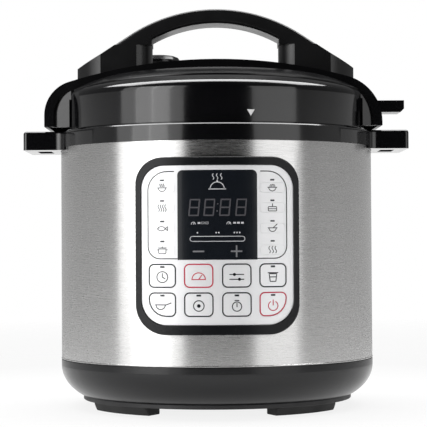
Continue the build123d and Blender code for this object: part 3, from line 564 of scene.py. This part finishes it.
def show(shapes, rise, width=FINE, x=0.0):
    """Draws shapes on the display, rise millimetres above the window's lower edge."""
    draw_icon(display, shapes, x * MM, window_low.z + rise * MM, width)


# Emblem: a lid with rising steam
cover = [("line", arc(0, 0, 5.6, 12, 168)), ("line", [(-6.6, 0), (6.6, 0)]), ("dot", ring(0, 6.3, 0.7))]
show(cover, EMBLEM_RISE, FINE * 1.3)
show([("line", wave(x, 7.6, 12.0, 0.6)) for x in (-3.2, 0, 3.2)], EMBLEM_RISE, FINE * 1.2)
# Low and high pressure: small gauges with one and three bars
for centre, lit in ((-14, 1), (14, 3)):
    show([("line", arc(-5, 0, 1.6, 0, 180, 8)), ("line", [(-5, 0), (-4.1, 1.1)])], GAUGE_RISE, x=centre)
    for i in range(3):
        left = -1.6 + i * 3.1
        bar = [(left, 0.2), (left + 2.2, 0.2), (left + 2.2, 1.6), (left, 1.6)]
        show([("dot" if i < lit else "loop", bar)], GAUGE_RISE, FINE * 0.5, centre)
# Less, normal and more: one, two and three dots
for centre, count in ((-15.8, 1), (0, 2), (15.4, 3)):
    row = [((i - (count - 1) / 2) * 2.1, 0, 0.62) for i in range(count)]
    show([("dot", ring(*dot)) for dot in row], DOTS_RISE, x=centre)
show([("loop", rounded_outline(-21.6, 21.6, 0, 3.9, (1.9, 1.9, 1.9, 1.9)))], SLIDER_RISE)
display.build("print_display", INK_WHITE, "cooker")

SIGN_LINE = 1.25 * MM
for node, bars in (("key_minus", 1), ("key_plus", 2)):
    left, right, low, high = pad_of(node)
    x, z = (left + right) / 2, (low + high) / 2
    sign = Print()
    sign.stroke([(x - 3.9 * MM, z), (x + 3.9 * MM, z)], SIGN_LINE)
    if bars == 2:
        sign.stroke([(x, z + 0.7 * MM), (x, z + 4.0 * MM)], SIGN_LINE)
        sign.stroke([(x, z - 4.0 * MM), (x, z - 0.7 * MM)], SIGN_LINE)
    sign.build("print_" + node, INK_SIGN, node)


# ---- The lid's alignment mark -------------------------------------------------------------------

mark = Print(-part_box("lid_cover")[0].y)
mark_x = 27.2 * MM
mark_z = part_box("collar")[1].z + 8.4 * MM
corners = ((-3.1, 2.5), (0, -2.6), (3.1, 2.5))
mark.patch([(mark_x + x * MM, mark_z + z * MM) for x, z in corners])
mark.build("print_mark", MARK_WHITE, "lid")


# ---- Studio -------------------------------------------------------------------------------------

def stage_mesh(name, verts, faces, mat):
    """A mesh of the studio, not of the object."""
    mesh = bpy.data.meshes.new(name)
    mesh.from_pydata(verts, [], faces)
    piece = bpy.data.objects.new(name, mesh)
    bpy.context.scene.collection.objects.link(piece)
    mesh.materials.append(mat)
    return piece


def pale_floor():
    """A pale floor that fades into the white background, so no horizon shows; it glows white to the camera,
    and near the object it is painted lighter and glows in reflections, as painted light.
    """
    mat = new_material("floor_pale", (0.93, 0.93, 0.93), 0.6)
    where = add(mat, "ShaderNodeTexCoord")
    far = add(mat, "ShaderNodeVectorMath", operation="LENGTH")
    join(mat, where.outputs["Object"], far.inputs[0])
    # Painted light: the floor's colour is lighter near the object (0.85) than far off (0.45).
    painted_light_tone = add(mat, "ShaderNodeMix", data_type="RGBA")
    for name, value in (("A", 0.85), ("B", 0.45)):
        find(painted_light_tone, name).default_value = (value, value, value, 1)
    join(mat, spread(mat, far.outputs["Value"], 0, 1, 0.2, 0.5), painted_light_tone.inputs["Factor"])
    join(mat, find(painted_light_tone, "Result", out=True), shader_of(mat).inputs["Base Color"])
    white = add(mat, "ShaderNodeEmission", Strength=1.0)
    seen = add(mat, "ShaderNodeMixShader")
    path = add(mat, "ShaderNodeLightPath")
    # Painted light: in reflections the floor glows, brightest close to the object.
    near = add(mat, "ShaderNodeMath", operation="MULTIPLY")
    join(mat, path.outputs["Is Glossy Ray"], near.inputs[0])
    join(mat, spread(mat, far.outputs["Value"], 0.64, 0, 0.22, 0.45), near.inputs[1])
    lift = add(mat, "ShaderNodeMath", operation="MULTIPLY_ADD")
    lift.inputs[1].default_value = 0.85
    join(mat, path.outputs["Is Camera Ray"], lift.inputs[0])
    join(mat, near.outputs["Value"], lift.inputs[2])
    join(mat, lift.outputs["Value"], seen.inputs["Fac"])
    join(mat, shader_of(mat).outputs["BSDF"], seen.inputs[1])
    join(mat, white.outputs["Emission"], seen.inputs[2])
    clear = add(mat, "ShaderNodeBsdfTransparent")
    mix = add(mat, "ShaderNodeMixShader")
    join(mat, spread(mat, far.outputs["Value"], 0, 1, 0.45, 1.6), mix.inputs["Fac"])
    join(mat, seen.outputs["Shader"], mix.inputs[1])
    join(mat, clear.outputs["BSDF"], mix.inputs[2])
    join(mat, mix.outputs["Shader"], mat.node_tree.nodes["Material Output"].inputs["Surface"])
    half = 2.5
    corners = [(-half, -half, 0), (half, -half, 0), (half, half, 0), (-half, half, 0)]
    return stage_mesh("floor", corners, [(0, 1, 2, 3)], mat)


def soft_box(name, direction, distance, size, power, height, spread_angle=180):
    """A square-edged soft light at an angle round the object from the camera's side."""
    data = bpy.data.lights.new(name, "AREA")
    data.shape = "RECTANGLE"
    data.size, data.size_y = size
    data.energy = power
    data.spread = math.radians(spread_angle)
    light = bpy.data.objects.new(name, data)
    angle = math.radians(direction)
    light.location = (distance * math.sin(angle), -distance * math.cos(angle), height)
    aim = Vector((0, 0, 0.16)) - light.location
    light.rotation_euler = aim.to_track_quat("-Z", "Y").to_euler()
    bpy.context.scene.collection.objects.link(light)
    return light


def sky():
    """White behind the object, grey at the sides and dark behind the camera, as the gloss reflects it."""
    world = bpy.data.worlds.new("studio")
    bpy.context.scene.world = world
    world.use_nodes = True
    back = world.node_tree.nodes["Background"]
    back.inputs["Color"].default_value = (1, 1, 1, 1)
    where = add(world, "ShaderNodeTexCoord")
    split = add(world, "ShaderNodeSeparateXYZ")
    angle = add(world, "ShaderNodeMath", operation="ARCTAN2")
    turn = add(world, "ShaderNodeMath", operation="ABSOLUTE")
    ramp = add(world, "ShaderNodeValToRGB")
    join(world, where.outputs["Generated"], split.inputs["Vector"])
    join(world, split.outputs["X"], angle.inputs[0])
    join(world, split.outputs["Y"], angle.inputs[1])
    join(world, angle.outputs["Value"], turn.inputs[0])
    join(world, spread(world, turn.outputs["Value"], 0, 1, 0, math.pi), ramp.inputs["Fac"])
    # Brightness round the horizon, from straight behind the object (0) to behind the camera (1)
    stops = ((0.0, 1.0), (0.045, 1.0), (0.07, 0.47), (0.5, 0.49), (0.8, 0.25), (0.90, 0.02), (1.0, 0.02))
    ramp.color_ramp.interpolation = "EASE"
    for place, value in stops[1:-1]:
        ramp.color_ramp.elements.new(place)
    for element, (place, value) in zip(ramp.color_ramp.elements, stops):
        element.position = place
        element.color = (value, value, value, 1)
    # Reflections find it darker above the horizon
    dimmed = add(world, "ShaderNodeMath", operation="MULTIPLY")
    join(world, ramp.outputs["Color"], dimmed.inputs[0])
    join(world, spread(world, split.outputs["Z"], 1.0, 0.26, 0.07, 0.14), dimmed.inputs[1])
    path = add(world, "ShaderNodeLightPath")
    level = add(world, "ShaderNodeMix", data_type="FLOAT", B=1.0)
    join(world, path.outputs["Is Camera Ray"], level.inputs["Factor"])
    join(world, dimmed.outputs["Value"], level.inputs["A"])
    join(world, level.outputs["Result"], back.inputs["Strength"])


pale_floor()
sky()
soft_box("key_outer", -66, 1.7, (0.42, 1.5), 3.0, 0.55)
soft_box("key_middle", -53, 1.7, (0.42, 1.5), 6.4, 0.55)
soft_box("key_inner", -40, 1.7, (0.42, 1.5), 7.2, 0.55)
soft_box("key_edge", -28, 1.75, (0.3, 1.5), 2.2, 0.55)
soft_box("fill_right", 43, 2.0, (1.25, 1.4), 7, 0.5)
soft_box("overhead", 180, 0.25, (2.5, 0.8), 46, 1.5)

VIEW_DISTANCE = 1.447
VIEW_HEIGHT = 0.1407
VIEW_PITCH = 0.99        # degrees up
VIEW_TURN = 0.33         # degrees that the camera stands to the left of the front
VIEW_YAW = 0.1035        # degrees to the left of the object's middle
VIEW_ROLL = 0.33         # degrees
camera_data = bpy.data.cameras.new("camera")
camera_data.sensor_width = 36
camera_data.lens = 140.04
camera = bpy.data.objects.new("camera", camera_data)
turned = math.radians(VIEW_TURN)
camera.location = (-VIEW_DISTANCE * math.sin(turned), -VIEW_DISTANCE * math.cos(turned), VIEW_HEIGHT)
camera.rotation_euler = [math.radians(v) for v in (90 + VIEW_PITCH, VIEW_ROLL, VIEW_YAW - VIEW_TURN)]
bpy.context.scene.collection.objects.link(camera)
bpy.context.scene.camera = camera
bpy.context.scene.view_settings.view_transform = "Standard"
